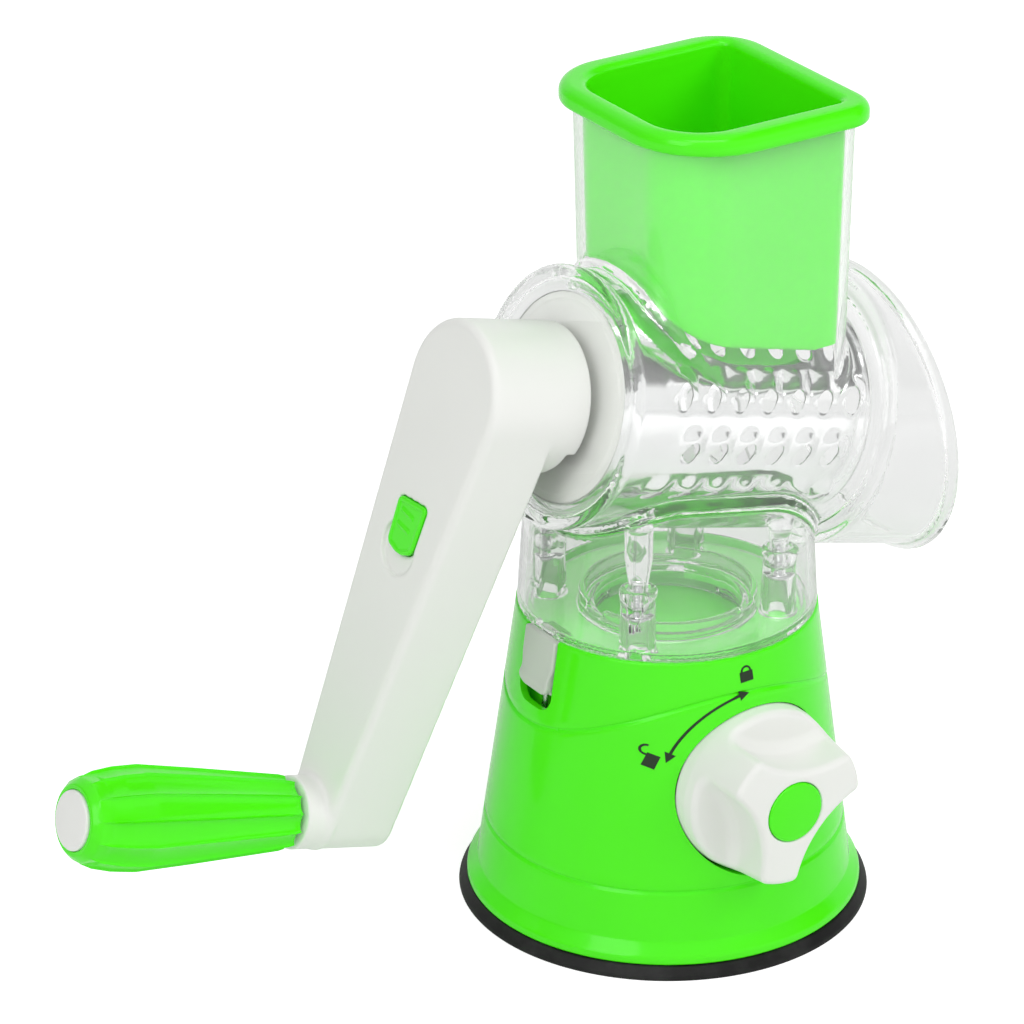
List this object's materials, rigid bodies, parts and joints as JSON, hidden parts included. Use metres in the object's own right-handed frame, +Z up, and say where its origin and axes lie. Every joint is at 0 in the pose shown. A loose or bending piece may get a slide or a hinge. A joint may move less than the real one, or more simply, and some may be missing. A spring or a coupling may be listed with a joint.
{
  "type": "rotary drum shredder",
  "caption": "Hand-cranked rotary shredder: a perforated steel drum in a clear housing with a food chute, pusher and pouring hood, on a tapered base held by a cam-lifted suction cup.",
  "frame": {"origin": "centre of the suction cup's underside, on the table", "axes": "+Z up; the drum axis lies in the XZ plane and tips down towards +X, where the shreds fall out; the suction knob is on the -Y side"},
  "size_m": [0.2938, 0.1402, 0.276],
  "materials": {
    "green_plastic": "gloss",
    "white_plastic": "satin gloss",
    "clear_plastic": "clear polished",
    "black_rubber": "matte",
    "grey_plastic": "matte",
    "polished_steel": "polished",
    "steel": "plated"
  },
  "bodies": {
    "base": {"base_shell": "green_plastic", "suction_cup": "black_rubber", "base_frame": "grey_plastic", "frame_screws": "steel", "latch_spring": "steel", "pedestal": "clear_plastic", "housing": "clear_plastic", "housing_screws": "steel"},
    "crank": {"drum": "polished_steel", "drum_hub": "white_plastic", "crank_arm": "white_plastic", "arm_cover": "white_plastic", "cover_screws": "steel", "grip_spindle": "steel", "button_spring": "steel"},
    "grip": {"grip": "green_plastic", "grip_end_cap": "white_plastic"},
    "button": {"release_button": "green_plastic", "lock_plate": "grey_plastic"},
    "pusher": {"pusher": "green_plastic"},
    "knob": {"knob": "white_plastic", "knob_cap": "green_plastic", "knob_screw": "steel", "cam_shaft": "grey_plastic"},
    "plunger": {"cup_plunger": "grey_plastic"},
    "latch": {"latch": "white_plastic"}
  },
  "joints": [
    {"name": "crank_turn", "type": "hinge", "parent": "base", "child": "crank", "pos_m": [0, 0, 0.1733], "axis": [0.9673, 0, -0.2538], "continuous": true},
    {"name": "grip_turn", "type": "hinge", "parent": "crank", "child": "grip", "pos_m": [-0.16401, 0.02578, 0.06041], "axis": [0.9673, 0, -0.2538], "continuous": true},
    {"name": "button_slide", "type": "slide", "parent": "crank", "child": "button", "axis": [-0.2501, 0.1685, -0.9534], "range_m": [0, 0.0032], "stiffness_N_per_m": 500, "springref_m": -0.003, "deforming": ["button_spring"]},
    {"name": "pusher_lift", "type": "slide", "parent": "base", "child": "pusher", "axis": [0, 0, 1], "range_m": [0, 0.02]},
    {"name": "knob_turn", "type": "hinge", "parent": "base", "child": "knob", "pos_m": [0, -0.06, 0.058], "axis": [0, 1, 0], "range_deg": [0, 90]},
    {"name": "plunger_lift", "type": "slide", "parent": "base", "child": "plunger", "axis": [0, 0, 1], "range_m": [0, 0.003], "deforming": ["suction_cup"]},
    {"name": "latch_slide", "type": "slide", "parent": "base", "child": "latch", "axis": [-0.1349, 0, -0.9909], "range_m": [0, 0.005], "stiffness_N_per_m": 300, "springref_m": -0.003, "deforming": ["latch_spring"]}
  ],
  "couplings": [
    {"joint": "knob_turn", "follows": "plunger_lift", "rad_per_m": 523.5}
  ]
}
